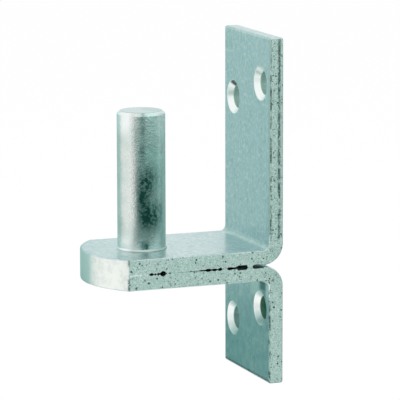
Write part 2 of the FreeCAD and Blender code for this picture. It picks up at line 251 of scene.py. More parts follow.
def runs_along_layer(edge):
    start, end = ends(edge)
    return near(abs(start.y - end.y), BEND_START - SLIT_END, 0.1 * MM)


def sort_parts():
    """Numbers corners, edges and faces by their distance from the odd point."""
    bpy.context.scene.cursor.location = ODD_POINT
    bpy.ops.mesh.select_mode(type="VERT")
    bpy.ops.mesh.select_all(action="SELECT")
    bpy.ops.mesh.sort_elements(type="CURSOR_DISTANCE", elements={"VERT", "EDGE", "FACE"})
    bpy.context.scene.cursor.location = (0, 0, 0)


sort_parts()
pick(bar, "EDGE", runs_along_layer)
bpy.ops.mesh.subdivide(number_cuts=LAYER_CUTS)
sort_parts()
report(bar)

# %% [markdown]
# Each stretch is scaled towards the slit's middle line until it has its height. Gaps of
# a middling height are roughened, and their corners put back into the plane of the side.
# Some corners lie just on the border of two stretches, so a hair is added to their place
# before it is compared. Divisions that no gap needs are dissolved again.

# %% Open and pinch the slit along both edges
LUMP = 0.12 * MM
LUMPY_TO = 0.68 * MM
PLAIN_END = 0.8 * MM
FLAT_ANGLE = math.radians(0.2)
near_side = [  # from, to and height in millimetres, on the side at +X
    (-6.1, -4.7, 0.03), (-4.7, -4.2, 0.4), (-4.2, -3.3, 0.9), (-3.3, -2.8, 0.12),
    (-2.8, -2.3, 0.9), (-2.3, -1.8, 0.15), (-1.8, -1.3, 1.0), (-1.3, -0.8, 0.35),
    (-0.8, -0.3, 1.3), (-0.3, 0.8, 1.8), (0.8, 1.2, 0.9), (1.2, 2.2, 0.03), (2.2, 3.0, 0.5),
    (3.0, 5.8, 0.03), (5.8, 9.5, 0.09), (9.5, 13.0, 0.18), (13.0, 15.2, 0.4),
    (15.2, 16.8, 1.0), (16.8, 17.6, 0.55), (17.6, 19.0, 0.9), (19.0, 19.6, 0.45),
    (19.6, 20.6, 1.0), (20.6, 23.0, 0.03), (23.0, 24.4, 1.0), (24.4, 26.2, 0.7),
    (26.2, 30.0, 1.65), (30.0, 31.7, 0.03), (31.7, 34.2, 1.4), (34.2, 35.6, 1.2),
]
far_side = [
    (-6.1, -2.4, 0.3), (-2.4, 4.8, 0.05), (4.8, 6.5, 0.5), (6.5, 11.7, 0.8),
    (11.7, 15.2, 0.03), (15.2, 21.8, 0.4), (21.8, 26.0, 0.65), (26.0, 28.6, 0.03),
    (28.6, 35.6, 0.9),
]
for side, stretches in ((1, near_side), (-1, far_side)):
    for first, last, height in stretches:
        pick(bar, "VERT", lambda corner: near(corner.co.x, side * HALF_WIDTH)
             and near(corner.co.z, SLIT_MIDDLE, SLIT)
             and first * MM <= corner.co.y + 2 * SAME < last * MM)
        bpy.ops.transform.resize(
            value=(1, 1, height * MM / SLIT), center_override=(0, 0, SLIT_MIDDLE)
        )
    ragged = pick(bar, "VERT", lambda corner: near(corner.co.x, side * HALF_WIDTH)
                  and LUMP < abs(corner.co.z - SLIT_MIDDLE) < LUMPY_TO
                  and SLIT_END + PLAIN_END < corner.co.y < BEND_START - PLAIN_END)
    bpy.ops.transform.vertex_random(offset=LUMP, seed=7 + side)
    bpy.ops.transform.resize(value=(0, 1, 1), center_override=(side * HALF_WIDTH, 0, 0))
    print("side", side, "of the slit:", ragged, "corners roughened")
pick(bar, "FACE", lambda face: abs(face.normal.x) < 0.5
     or SLIT_END < face.calc_center_median().y < BEND_START)
bpy.ops.mesh.dissolve_limited(angle_limit=FLAT_ANGLE)
report(bar)

# %% [markdown]
# ## Rounded and sheared edges
#
# Flat bar comes from the rolls with soft long edges, the shears leave the two ends nearly
# sharp, and the nose has been rubbed round. The edges of each kind get a share of the
# bevel's width as their weight, and one Bevel modifier rounds them all, so that it can
# also work out the corners where kinds of edge meet. The slit's own edges stay raw.

# %% Weigh the edges and bevel them
BEVEL = 0.8 * MM
LONG_EDGE, SHEARED_EDGE, NOSE_EDGE = 0.55 * MM, 0.32 * MM, 0.7 * MM
NOSE_CREASE, HOLE_RIM = 0.16 * MM, 0.14 * MM
CORNER_ANGLE = math.radians(30)
LOOSE = 0.1 * MM


def weigh(piece, width, wanted):
    """Gives the edges that pass a test this width of the bevel."""
    found = pick(piece, "EDGE", wanted)
    bpy.ops.transform.edge_bevelweight(value=width / BEVEL)
    return found


def at_side(point):
    return near(abs(point.x), HALF_WIDTH)


def lies_in_slit(edge):
    middle = middle_of(edge)
    return abs(middle.z - SLIT_MIDDLE) < MM and middle.y < BEND_START + 0.5 * MM


def is_long_edge(edge):
    start, end = ends(edge)
    is_corner = at_side(start) and at_side(end) and edge.calc_face_angle(0) > CORNER_ANGLE
    return is_corner and not lies_in_slit(edge) and not (
        near(start.y, NOSE_CORNER, LOOSE) and near(end.y, NOSE_CORNER, LOOSE))


def is_sheared(edge):
    start, end = ends(edge)
    return any(near(start.z, level) and near(end.z, level) for level in (PLATE_TOP, PLATE_FOOT))


def is_nose_rim(edge):
    start, end = ends(edge)
    return max(start.y, end.y) < NOSE_CORNER + LOOSE and near(start.z, end.z) and (
        near(start.z, 0) or near(start.z, TONGUE_UNDER))


def is_crease(edge):
    start, end = ends(edge)
    return at_side(start) and at_side(end) and abs(start.z - end.z) > MM and (
        near(start.y, NOSE_CORNER, LOOSE) and near(end.y, NOSE_CORNER, LOOSE))


def round_edges(piece, width, segments):
    """Applies the bevel that the weights ask for."""
    nothing_selected()
    bpy.context.view_layer.objects.active = piece
    piece.select_set(True)
    bevel = piece.modifiers.new("soft edges", "BEVEL")
    bevel.limit_method, bevel.width, bevel.segments = "WEIGHT", width, segments
    bevel.miter_outer, bevel.use_clamp_overlap = "MITER_ARC", False
    bpy.ops.object.modifier_apply(modifier=bevel.name)


print("long edges:", weigh(bar, LONG_EDGE, is_long_edge))
print("sheared edges:", weigh(bar, SHEARED_EDGE, is_sheared))
print("nose edges:", weigh(bar, NOSE_EDGE, is_nose_rim))
print("creases:", weigh(bar, NOSE_CREASE, is_crease))
round_edges(bar, BEVEL, 3)

# %% [markdown]
# ## The holes
#
# A countersunk hole is drilled straight and then opened with a 90 degree bit. One cutter
# stands for both tools: a disc in front of the plate is extruded inwards while it is
# scaled down, which makes the bit's cone, and then straight on as the drill. Boolean
# modifiers take the cutters away from the bar. The same is done from below for the hole
# in which the pin's end is riveted over, with a hair of play round the spigot.

# %% Cut the screw holes and the pin's hole
HOLE_CORNERS = 96
PLAY = 0.03 * MM
SCREW_DRILL, SPIGOT_DRILL = 6 * MM, 10 * MM


def add_cutter(start, turn, rings):
    """A closed round cutter whose rings are given as (radius, how much further in)."""
    nothing_selected()
    bpy.ops.mesh.primitive_circle_add(
        vertices=HOLE_CORNERS, radius=rings[0][0], fill_type="NGON", location=start, rotation=turn
    )
    cutter = start_piece("cutter")
    inwards = Vector((0, 0, -1))
    inwards.rotate(Matrix.Rotation(turn[0], 3, "X"))
    place = Vector(start)
    for (before, _), (radius, step) in zip(rings, rings[1:]):
        place += inwards * step
        pull(*(inwards * step))
        bpy.ops.transform.resize(value=(radius / before,) * 3, center_override=place)
    bpy.ops.mesh.select_all(action="SELECT")
    bpy.ops.mesh.normals_make_consistent(inside=False)
    nothing_selected()
    return cutter


def cut_away(piece, cutter):
    """Takes the cutter's shape out of the piece and removes the cutter."""
    nothing_selected()
    bpy.context.view_layer.objects.active = piece
    piece.select_set(True)
    cut = piece.modifiers.new("hole", "BOOLEAN")
    cut.operation, cut.solver, cut.object = "DIFFERENCE", "EXACT", cutter
    bpy.ops.object.modifier_apply(modifier=cut.name)
    bpy.data.objects.remove(cutter)


screw_bit = [
    (RIM_RADIUS + MM, 0),
    (SCREW_RADIUS, RIM_RADIUS + MM - SCREW_RADIUS),
    (SCREW_RADIUS, SCREW_DRILL),
]
for x, z in SCREW_PLACES:
    start = (x * MM, PLATE_FRONT - MM, z * MM)
    cut_away(bar, add_cutter(start, (math.radians(90), 0, 0), screw_bit))
spigot_bit = [
    (RIVET_RADIUS + PLAY + MM, 0),
    (SPIGOT_RADIUS + PLAY, RIVET_SINK + MM),
    (SPIGOT_RADIUS + PLAY, SPIGOT_DRILL),
]
start = (0, 0, TONGUE_UNDER - MM)
cut_away(bar, add_cutter(start, (math.radians(180), 0, 0), spigot_bit))
print("bar with its holes:", len(bar.data.polygons), "faces")

# %% [markdown]
# ## The rims of the screw holes
#
# Under its plating a drilled rim is a hair less than sharp, on the front, inside and on
# the back. The weights of the first bevel are cleared, the rims get one of their own,
# and the same kind of modifier rounds them.

# %% Break the rims
RIM_SLACK = 0.05 * MM


def hole_distance(point):
    """How far a point is from the nearest screw hole's axis, seen from the front."""
    return min(math.hypot(point.x - x * MM, point.z - z * MM) for x, z in SCREW_PLACES)


def is_hole_rim(edge):
    start, end = ends(edge)
    if near(start.y, PLATE_FRONT) and near(end.y, PLATE_FRONT):
        radius = RIM_RADIUS
    elif near(start.y, end.y):
        radius = SCREW_RADIUS
    else:
        return False
    return all(near(hole_distance(point), radius, RIM_SLACK) for point in (start, end))


bar.select_set(True)
bpy.context.view_layer.objects.active = bar
bpy.ops.object.mode_set(mode="EDIT")
pick(bar, "EDGE", lambda edge: True)
bpy.ops.transform.edge_bevelweight(value=-1)
print("hole rims:", weigh(bar, HOLE_RIM, is_hole_rim))
round_edges(bar, BEVEL, 2)

# %% [markdown]
# ## The pin
#
# The pin is turned from round bar. Its shank has a chamfered top and a low ring at the
# foot, where the plating has run together on the tongue. Below that a thinner spigot goes
# through the tongue, and its end is hammered out into the countersink. A disc is extruded
# ring by ring along that profile, each ring scaled to its radius, which closes the shape
# by itself and keeps both end faces flat and round.

# %% Turn the pin
PIN_CORNERS = 128
under, crown = TONGUE_UNDER / MM, PIN_TOP / MM
rivet, spigot, shank = RIVET_RADIUS / MM, SPIGOT_RADIUS / MM, PIN_RADIUS / MM
profile = [  # radius and height of each ring in millimetres, from below
    (2.6, under - 0.5), (4.6, under - 0.44), (6.4, under - 0.3), (7.4, under - 0.12),
    (rivet, under), (spigot, under + RIVET_SINK / MM), (spigot, 0.0), (8.3, 0.0),
    (8.4, 0.08), (8.36, 0.22), (8.16, 0.42), (8.03, 0.56), (shank, 0.75), (shank, 12.0),
    (shank, 24.0), (shank, 36.0), (shank, 44.85), (7.93, 45.1), (7.12, 45.91),
    (6.9, crown), (3.4, crown),
]
nothing_selected()
first_radius, first_height = profile[0]
bpy.ops.mesh.primitive_circle_add(
    vertices=PIN_CORNERS, radius=first_radius * MM, fill_type="NGON",
    location=(0, 0, first_height * MM),
)
pin = start_piece("zinc_pin")
for (before, low), (radius, high) in zip(profile, profile[1:]):
    pull(z=(high - low) * MM)
    size = radius / before
    bpy.ops.transform.resize(value=(size, size, 1), center_override=(0, 0, high * MM))
bpy.ops.mesh.select_all(action="SELECT")
bpy.ops.mesh.normals_make_consistent(inside=False)
report(pin)

# %% [markdown]
# ## Smooth shading
#
# Curved faces are shaded smooth and corners sharper than 35 degrees stay sharp. Big flat
# faces next to a narrow rounded edge would pick up a false sheen, so a Weighted Normal
# modifier lets the largest face decide how its corners are lit.

# %% Shade both pieces
SHARP_ANGLE = math.radians(35)
for piece in (bar, pin):
    nothing_selected()
    bpy.context.view_layer.objects.active = piece
    piece.select_set(True)
    bpy.ops.object.shade_smooth_by_angle(angle=SHARP_ANGLE)
    weighted = piece.modifiers.new("flat faces stay flat", "WEIGHTED_NORMAL")
    weighted.keep_sharp = True
    bpy.ops.object.modifier_apply(modifier=weighted.name)
    triangles = sum(len(face.vertices) - 2 for face in piece.data.polygons)
    print(piece.name, "has", triangles, "triangles")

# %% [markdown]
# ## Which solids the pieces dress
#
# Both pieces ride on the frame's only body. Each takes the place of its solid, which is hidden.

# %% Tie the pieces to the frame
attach(bar, "root")
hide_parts("folded_plate")
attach(pin, "root")
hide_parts("hinge_pin")
print("dressed:", bar.name, "and", pin.name)

# %% [markdown]
# ## Writing a finish
#
# A finish is worked out from where a point lies on the piece. Written as node by node
# wiring, that is hard to read, so a small class stands for one number on its way through
# the finish: sums and products of such numbers add the Math nodes that they need. Every
# other node is added by one method, which takes its kind, its settings and its inputs.

# %% Numbers and nodes of a finish
class Amount:
    """A number that varies over the surface."""

    def __init__(self, finish, socket):
        self.finish, self.socket = finish, socket

    def math(self, operation, other=0.0, swapped=False):
        pair = (other, self) if swapped else (self, other)
        settings = {"operation": operation}
        return self.finish.add("ShaderNodeMath", settings, dict(enumerate(pair)))

    def __add__(self, other):
        return self.math("ADD", other)

    def __sub__(self, other):
        return self.math("SUBTRACT", other)

    def __rsub__(self, other):
        return self.math("SUBTRACT", other, swapped=True)

    def __mul__(self, other):
        return self.math("MULTIPLY", other)

    __radd__, __rmul__ = __add__, __mul__

    def __abs__(self):
        return self.math("ABSOLUTE")

    def least(self, other):
        return self.math("MINIMUM", other)

    def most(self, other):
        return self.math("MAXIMUM", other)

    def rise(self, start, end):
        """0 below start, 1 above end and an easy slope between; falls if end is lower."""
        settings = {"interpolation_type": "SMOOTHSTEP"}
        low, high = min(start, end), max(start, end)
        limits = {"Value": self, "From Min": low, "From Max": high}
        eased = self.finish.add("ShaderNodeMapRange", settings, limits)
        return eased if end > start else 1 - eased

    def within(self, middle, half, soft):
        """1 where the number is within half of middle, 0 from half + soft on."""
        return abs(self - middle).rise(half + soft, half)


class Finish:
    """The nodes of a material, or of the room, under construction."""

    def __init__(self, owner):
        owner.use_nodes = True
        self.owner, self.nodes = owner, owner.node_tree.nodes
        self.nodes.clear()

    def add(self, kind, settings=None, inputs=None, output=0):
        """Adds a node: its settings first, then values or links into its sockets."""
        node = self.nodes.new(kind)
        for name, value in (settings or {}).items():
            setattr(node, name, value)
        for name, value in (inputs or {}).items():
            socket = node.inputs[name]
            if isinstance(value, Amount):
                self.owner.node_tree.links.new(value.socket, socket)
            elif isinstance(value, tuple) and socket.type == "RGBA":
                socket.default_value = (*value, 1)
            else:
                socket.default_value = value
        return Amount(self, node.outputs[output] if len(node.outputs) else None)

    def blend(self, share, first, second):
        """Goes from the first colour to the second as share goes from 0 to 1."""
        settings = {"data_type": "RGBA", "clamp_factor": True}
        sockets = {0: share, 6: first, 7: second}
        return self.add("ShaderNodeMix", settings, sockets, output=2)

    def stretched(self, place, size):
        """Place in millimetres, stretched so that a pattern is size times as long."""
        scale = tuple(1 / (MM * part) for part in size)
        settings = {"operation": "MULTIPLY"}
        return self.add("ShaderNodeVectorMath", settings, {0: place, 1: scale})

    def clouds(self, place, scale, detail=2.0, roughness=0.5, offset=0.0):
        """Soft random values from 0 to 1, with about scale clouds a millimetre."""
        shift = self.add(
            "ShaderNodeVectorMath", {"operation": "ADD"}, {0: place, 1: (offset, 0, -offset)}
        )
        inputs = {"Vector": shift, "Scale": scale, "Detail": detail, "Roughness": roughness}
        return self.add("ShaderNodeTexNoise", None, inputs)

    def pits(self, place, scale, chance, size):
        """Small round pits: 1 inside. Chance is the share of cells that hold one."""
        cells = {"Vector": place, "Scale": scale, "Randomness": 1.0}
        distance = self.add("ShaderNodeTexVoronoi", None, cells)
        cell = self.add("ShaderNodeTexVoronoi", None, cells, output="Color")
        red = self.add("ShaderNodeSeparateColor", None, {"Color": cell}, output="Red")
        green = self.add("ShaderNodeSeparateColor", None, {"Color": cell}, output="Green")
        radius = size * (0.45 + 0.55 * green)
        return (distance - radius).rise(0.08 * size + 0.02, -0.02) * red.rise(chance, chance - 0.02)

    def close(self, surface):
        """Ends the material with its surface."""
        self.add("ShaderNodeOutputMaterial", None, {"Surface": surface})
        return self.owner


def put_on(piece, material):
    """Makes the material the piece's only one."""
    piece.data.materials.clear()
    piece.data.materials.append(material)


# %% [markdown]
# ## Zinc on the bar
#
# Bright zinc is a thin, slightly cloudy metal skin. On the rolled faces it is satin and
# even, with fine pale specks and a few wiping marks. On the sides, where the bar was slit
# and pressed, it is dull and mostly scatters light, with dark pits that line up along the
# shear's tear. The walls of the drilled holes stay dark and green, and painted shade darkens
# those of the lower holes further. The countersinks are freshly cut and bright, with painted
# shade at the top of the upper ones and at both ends of the lower ones. One material holds
# all of it, because the plating runs on from face to face. It starts from the place of a
# point in millimetres and its facing.

# %% The bar's tones, and where a point lies
PALE_ZINC = (0.60, 0.715, 0.735)
COOL_ZINC = (0.56, 0.69, 0.71)
SIDE_ZINC_AND_SHADE = (0.33, 0.50, 0.455)
PALE_CRUST = (0.58, 0.73, 0.67)
DULL_PATCH_AND_SHADE = (0.15, 0.27, 0.24)
WHITE_ZINC_AND_HIGHLIGHT, NOSE_SHADE_GREEN = (0.90, 0.93, 0.88), (0.64, 0.79, 0.75)
DARK_PIT_AND_SHADE = (0.03, 0.075, 0.065)
HOLE_GREEN, HOLE_SHADE = (0.30, 0.47, 0.42), (0.22, 0.40, 0.36)
HOLE_GREEN_IN_SHADE, HOLE_GREEN_DEEP_SHADE = (0.08, 0.21, 0.125), (0.02, 0.13, 0.09)
NOSE_CLOUD = (0.60, 0.68, 0.68)
CUT_ZINC_AND_HIGHLIGHT = (0.90, 0.95, 0.93)
RIM_TINT = (0.87, 0.93, 0.93)

zinc = Finish(bpy.data.materials.new("bright_zinc_on_flat_bar"))
here = zinc.add("ShaderNodeTexCoord", None, None, output="Object")
facing = zinc.add("ShaderNodeTexCoord", None, None, output="Normal")
place = zinc.stretched(here, (1, 1, 1))
x, y, z = (zinc.add("ShaderNodeSeparateXYZ", None, {0: place}, output=axis) for axis in "XYZ")
faces_x, faces_y, faces_up = (
    zinc.add("ShaderNodeSeparateXYZ", None, {0: facing}, output=axis) for axis in "XYZ"
)
faces_x, faces_y, faces_z = abs(faces_x), abs(faces_y), abs(faces_up)
print("place and facing:", len(zinc.nodes), "nodes")

# %% [markdown]
# Each kind of surface gets a mask, which is 1 on it and 0 elsewhere: the sides of the
# bar, the walls and countersinks of the screw holes, which go by the distance from the
# nearest hole's axis, and the nose, which carries painted light.

# %% Masks for the kinds of surface
side = faces_x.rise(0.78, 0.93) * abs(x).rise(19.0, 19.4)
hole = None
for hole_x, hole_z in SCREW_PLACES:
    offset = zinc.add("ShaderNodeCombineXYZ", None, {"X": x - hole_x, "Z": z - hole_z})
    reach = zinc.add("ShaderNodeVectorMath", {"operation": "LENGTH"}, {0: offset}, output="Value")
    hole = reach if hole is None else hole.least(reach)
on_plate, behind = y.rise(37.0, 37.3), PLATE_BACK / MM - 0.6
hole_wall = hole.rise(4.05, 3.9) * on_plate
cone = hole.rise(5.9, 5.7) * on_plate * (1 - hole_wall) * y.rise(behind, behind - 0.4)
nose = (y.rise(-11.2, -11.7) * faces_y.rise(0.55, 0.66)) * faces_z.rise(0.6, 0.3)
on_leg = z.rise(2.5, 4.5)
on_bends = y.rise(34.0, 37.0) * z.within(SLIT_MIDDLE / MM, 8, 3)
worn = on_leg.most(on_bends)
print("with its masks:", len(zinc.nodes), "nodes")

# %% [markdown]
# The patterns of wear are random: wide drifts of tone, fine grain and frost, pale specks,
# and pits of two sizes, which crowd together in places. A stretched pattern gives the
# torn lines that the shears leave along both edges of the upper leg's sides.

# %% Patterns of wear
drift = zinc.clouds(place, 0.09, 2.0)
grain = zinc.clouds(place, 2.6, 3.0, 0.6, 11)
frost = zinc.clouds(place, 5.5, 2.0, 0.7, 23)
specks = zinc.pits(place, 1.1, 0.32, 0.16)
pits = zinc.pits(place, 0.66, 0.80, 0.24)
fine_pits = zinc.pits(place, 1.5, 0.46, 0.29)
tear = zinc.clouds(zinc.stretched(here, (1, 1, 2.2)), 0.9, 3.0, 0.65, 5)
front_tear = y.within(38.05, 0.12, 0.28) * tear.rise(0.46, 0.58) * (1 - 0.7 * z.rise(58, 66))
back_tear = y.within(40.95, 0.24, 0.38) * tear.rise(0.38, 0.54)
tear_marks = (front_tear + back_tear) * on_leg * side * (0.30 + 0.85 * grain.rise(0.40, 0.58))
crowd = zinc.clouds(place, 0.16, 1.0, 0.5, 41).rise(0.36, 0.60)
fine_share = 0.25 + 0.50 * crowd + 0.45 * worn
side_pits = (pits * (0.45 + 0.55 * crowd)).most(fine_pits * fine_share) * side
bloom = zinc.clouds(place, 0.75, 4.0, 0.62, 47).rise(0.50, 0.60)
bloom = bloom * drift.rise(0.47, 0.60).most(0.8 * z.rise(-14, -11) * z.rise(-26, -18))
wipes = zinc.clouds(zinc.stretched(here, (0.5, 1, 7)), 0.5, 3.0, 0.6, 53).rise(0.50, 0.72)
grime = zinc.clouds(place, 0.35, 4.0, 0.65, 83).rise(0.50, 0.70)
smears = zinc.clouds(place, 0.30, 4.0, 0.65, 71).rise(0.42, 0.64) * z.rise(-11, -14)
cloudy = zinc.clouds(place, 0.42, 4.0, 0.6, 61).rise(0.44, 0.66)
print("with its patterns:", len(zinc.nodes), "nodes")

# %% [markdown]
# The rolled faces are two tones of zinc, wiped and grimy in streaks, with paler blooms.
# The inside of the bend is darkened with painted shade. Under the lower bend one corner
# carries painted shade, with a pale patch beside it and a painted highlight on the rim.
# The sides are darker and crusted.

# %% Colours of the rolled faces and the sides
wide_colour = zinc.blend(drift.rise(0.3, 0.7), PALE_ZINC, COOL_ZINC)
wide_colour = zinc.blend(wipes * 0.35, wide_colour, SIDE_ZINC_AND_SHADE)
wide_colour = zinc.blend(grime * 0.45, wide_colour, SIDE_ZINC_AND_SHADE)
wide_colour = zinc.blend(bloom * 0.55, wide_colour, WHITE_ZINC_AND_HIGHLIGHT)
# Painted shade: the inside of the bend is darkened towards the sides' tone.
bend_shade = faces_up.rise(0.25, 0.55) * faces_y.rise(0.25, 0.55) * y.rise(35.0, 35.4)
wide_colour = zinc.blend(bend_shade * 0.45, wide_colour, SIDE_ZINC_AND_SHADE)
wide_colour = zinc.blend(smears * 0.40, wide_colour, WHITE_ZINC_AND_HIGHLIGHT)
pale_patch = x.within(7.5, 2.5, 2.5) * z.within(-15.0, 1.8, 1.2) * grain.rise(0.30, 0.56)
wide_colour = zinc.blend(pale_patch * 0.75, wide_colour, WHITE_ZINC_AND_HIGHLIGHT)
lower_leg = z.rise(-11, -12)
# Painted highlight along the rim of the lower leg's near side.
rim_highlight = x.rise(16.4, 17.6) * z.rise(-17.5, -15.5) * lower_leg
wide_colour = zinc.blend(rim_highlight * 0.85, wide_colour, CUT_ZINC_AND_HIGHLIGHT)
# Painted shade in the corner under the lower bend.
under_bend_shade = x.within(14.3, 1.2, 2.6) * z.rise(-15.2, -14.0)
under_bend_shade = under_bend_shade.most(0.55 * x.within(15.3, 0.9, 1.2) * z.rise(-19.5, -16.0))
wide_colour = zinc.blend(under_bend_shade * lower_leg, wide_colour, DULL_PATCH_AND_SHADE)
wide_colour = zinc.blend(specks * 0.45, wide_colour, CUT_ZINC_AND_HIGHLIGHT)
side_colour = zinc.blend(grain.rise(0.38, 0.70), SIDE_ZINC_AND_SHADE, PALE_CRUST)
frosted = frost.rise(0.46, 0.68) * (0.5 + 0.5 * worn)
side_colour = zinc.blend(frosted, side_colour, DULL_PATCH_AND_SHADE)
print("with these colours:", len(zinc.nodes), "nodes")

# %% [markdown]
# Now the kinds of surface are laid over each other: the sides with the pale seam where
# the slit is bridged, the nose with a painted highlight on its near half and painted shade
# on its far half, painted shade on the front bevels, the dark marks along scuffed and
# sheared edges, and the pits and torn lines. The screw holes come last. Painted shade
# darkens the top of the upper countersinks, most in the far one, and both ends of the
# lower ones, and the lower holes' walls are darker, as painted shade.

# %% One colour for the whole bar
colour = zinc.blend(side, wide_colour, side_colour)
seam = z.within(SLIT_MIDDLE / MM, 0.12, 0.30) * y.rise(-4.4, -5.4) * side * tear.rise(0.36, 0.58)
colour = zinc.blend(seam * 0.55, colour, CUT_ZINC_AND_HIGHLIGHT)
# Painted highlight on the nose's near half and painted shade, in green, on its far half.
nose_shaded_half = x.rise(6.5, 3.0) * (0.4 + 0.6 * x.rise(-17, -10))
colour = zinc.blend(nose, colour, zinc.blend(nose_shaded_half, WHITE_ZINC_AND_HIGHLIGHT, NOSE_SHADE_GREEN))
colour = zinc.blend(nose * cloudy * 0.38, colour, NOSE_CLOUD)
nose_pits = nose * frost.rise(0.60, 0.70) * 0.35
colour = zinc.blend(nose_pits, colour, SIDE_ZINC_AND_SHADE)
corner = y.within(NOSE_CORNER / MM, 0.22, 0.25) * abs(x).rise(19.2, 19.6)
scuffed = corner * (z.rise(-5.0, -7.5) + 0.8 * z.rise(-2.6, -1.4)) * grain.rise(0.36, 0.52)
front_edge = y.within(37.65, 0.30, 0.20) * abs(x).rise(19.3, 19.6)
# Painted shade: the front bevels of both legs are darkened so that they show no highlight.
colour = zinc.blend(front_edge * z.within(-6, 10, 2).rise(1, 0) * 0.9, colour, SIDE_ZINC_AND_SHADE)
scuffed = scuffed.most(front_edge * z.rise(-13, -15) * tear.rise(0.50, 0.58))
sheared = z.rise(-43.6, -44.6) * (1 - side) * (0.35 + 0.6 * grain.rise(0.38, 0.55))
scuffed = scuffed.most(sheared)
colour = zinc.blend(side_pits.most(tear_marks).most(scuffed * 0.85), colour, DARK_PIT_AND_SHADE)
# Painted shade at both ends of the lower countersinks.
lower_cone_shade = faces_z.rise(0.40, 0.66) * z.rise(0, -10)
colour = zinc.blend(cone, colour, zinc.blend(lower_cone_shade * 0.8, CUT_ZINC_AND_HIGHLIGHT, SIDE_ZINC_AND_SHADE))
# Painted shade on the downward-facing top of the upper countersinks, most in the far one.
cone_top_shade = cone * faces_up.rise(-0.50, -0.64) * hole.rise(5.9, 5.2) * z.rise(0, 10)
cone_top_shade = cone_top_shade * (0.12 + 0.88 * x.rise(6, -6))
colour = zinc.blend(cone_top_shade, colour, DARK_PIT_AND_SHADE)
# Painted shade in the lower holes: the near one darkens inwards, towards the back.
deep_hole_shade = zinc.blend(y.rise(39.2, 41.2), HOLE_GREEN_IN_SHADE, HOLE_GREEN_DEEP_SHADE)
hole_colour = zinc.blend(x.rise(-6, 6), HOLE_SHADE, deep_hole_shade)
hole_colour = zinc.blend(z.rise(20, -10), HOLE_GREEN, hole_colour)
colour = zinc.blend(hole_wall, colour, hole_colour)
print("with one colour:", len(zinc.nodes), "nodes")

# %% [markdown]
# Dull places are rougher and less metallic than the rest. The pits and torn lines are
# sunk by up to 0.2 mm, as a bump, and the grain is only a few thousandths high.

# %% The bar's surface
dull = side.most(hole_wall * 0.7)
metal = 1 - 0.8 * dull
gloss = 0.30 + 0.08 * (drift - 0.5) + 0.05 * (grain - 0.5) + 0.30 * dull + 0.08 * nose
relief = (
    0.004 * MM * grain
    + 0.003 * MM * frost
    + side * (0.05 * MM * tear - 0.16 * MM * side_pits - 0.2 * MM * tear_marks)
    + 0.01 * MM * specks
)
sunk = {"Strength": 1.0, "Distance": 1.0, "Height": relief}
bumps = zinc.add("ShaderNodeBump", None, sunk, output="Normal")
zinc_surface = zinc.add(
    "ShaderNodeBsdfPrincipled",
    None,
    {
        "Base Color": colour, "Metallic": metal, "Roughness": gloss, "Normal": bumps,
        "Specular Tint": RIM_TINT,
    },
)
put_on(bar, zinc.close(zinc_surface))
print("bar finish:", len(zinc.nodes), "nodes")

# %% [markdown]
# ## Zinc on the pin
#
# The turned pin is smoother than the bar, so it mirrors the room as upright bands of
# light and dark. Plating leaves the skin a little lumpy, which breaks the bands up into
# blotches. Dark green spots, partly real stains and partly painted reflection that deepens
# the dark band, have their own places, by the turn about the pin's axis and the height
# above the tongue.

# %% The pin's tones, patterns and stains
PIN_ZINC = (0.78, 0.80, 0.775)
PIN_STAIN_AND_SHADE = (0.58, 0.68, 0.64)
PIN_TOP_ZINC = (0.57, 0.69, 0.675)
DEEP_STAIN_AND_REFLECTION, GREEN_ZINC = (0.03, 0.14, 0.115), (0.52, 0.68, 0.61)
TEAL_REFLECTION = (0.63, 0.90, 0.86)
# Each spot is partly a real stain and partly painted dark reflection that deepens the pin's dark
# band.
stain_and_reflection_spots = [  # turn in degrees and height in millimetres, half of each, and the depth
    (-6, 11.5, 21, 4.5, 1.3), (-11, 22, 20, 7.0, 0.95), (-17, 33, 9, 3.5, 0.5),
    (-16, 42, 7, 6.0, 0.5), (-12, 1.8, 11, 1.7, 1.2), (26, 12, 18, 6.0, 0.7),
    (-20, 17, 11, 4.0, 0.6), (17, 24, 24, 4.5, 0.42),
    (140, 20, 30, 9.0, 0.5), (-130, 34, 24, 6.0, 0.35), (-75, 8, 14, 5.0, 0.2),
]

turned = Finish(bpy.data.materials.new("bright_zinc_on_turned_pin"))
here = turned.add("ShaderNodeTexCoord", None, None, output="Object")
place = turned.stretched(here, (1, 1, 1))
x, y, z = (turned.add("ShaderNodeSeparateXYZ", None, {0: place}, output=axis) for axis in "XYZ")
turn = y.math("ARCTAN2", x) * math.degrees(1)
blotches = turned.clouds(place, 0.16, 3.0, 0.55, 3)
mottle = turned.clouds(place, 0.8, 3.0, 0.6, 17)
grit = turned.clouds(place, 1.9, 3.0, 0.65, 29)
foot = z.rise(0.75, 0.55)
top = z.rise(45.9, 45.97)
sheltered = turn.within(95, 40, 45)
stain_and_reflection = 0
for spot_turn, spot_height, half_turn, half_height, depth in stain_and_reflection_spots:
    round_it = turn.within(spot_turn, 0, half_turn * 1.5)
    spot = round_it * z.within(spot_height, 0, half_height * 1.5)
    stain_and_reflection = depth * spot + stain_and_reflection
stain_and_reflection = stain_and_reflection * (0.65 + 0.6 * mottle.rise(0.40, 0.60)) * (0.5 + grit)
print("pin's patterns:", len(turned.nodes), "nodes")

# %% [markdown]
# The side of the pin that faces the plate has a painted teal reflection, and its sheltered
# part is green and duller. The free side has painted highlights near both ends and painted
# shade in its middle. The foot ring and the top's flat face have tones of their own.

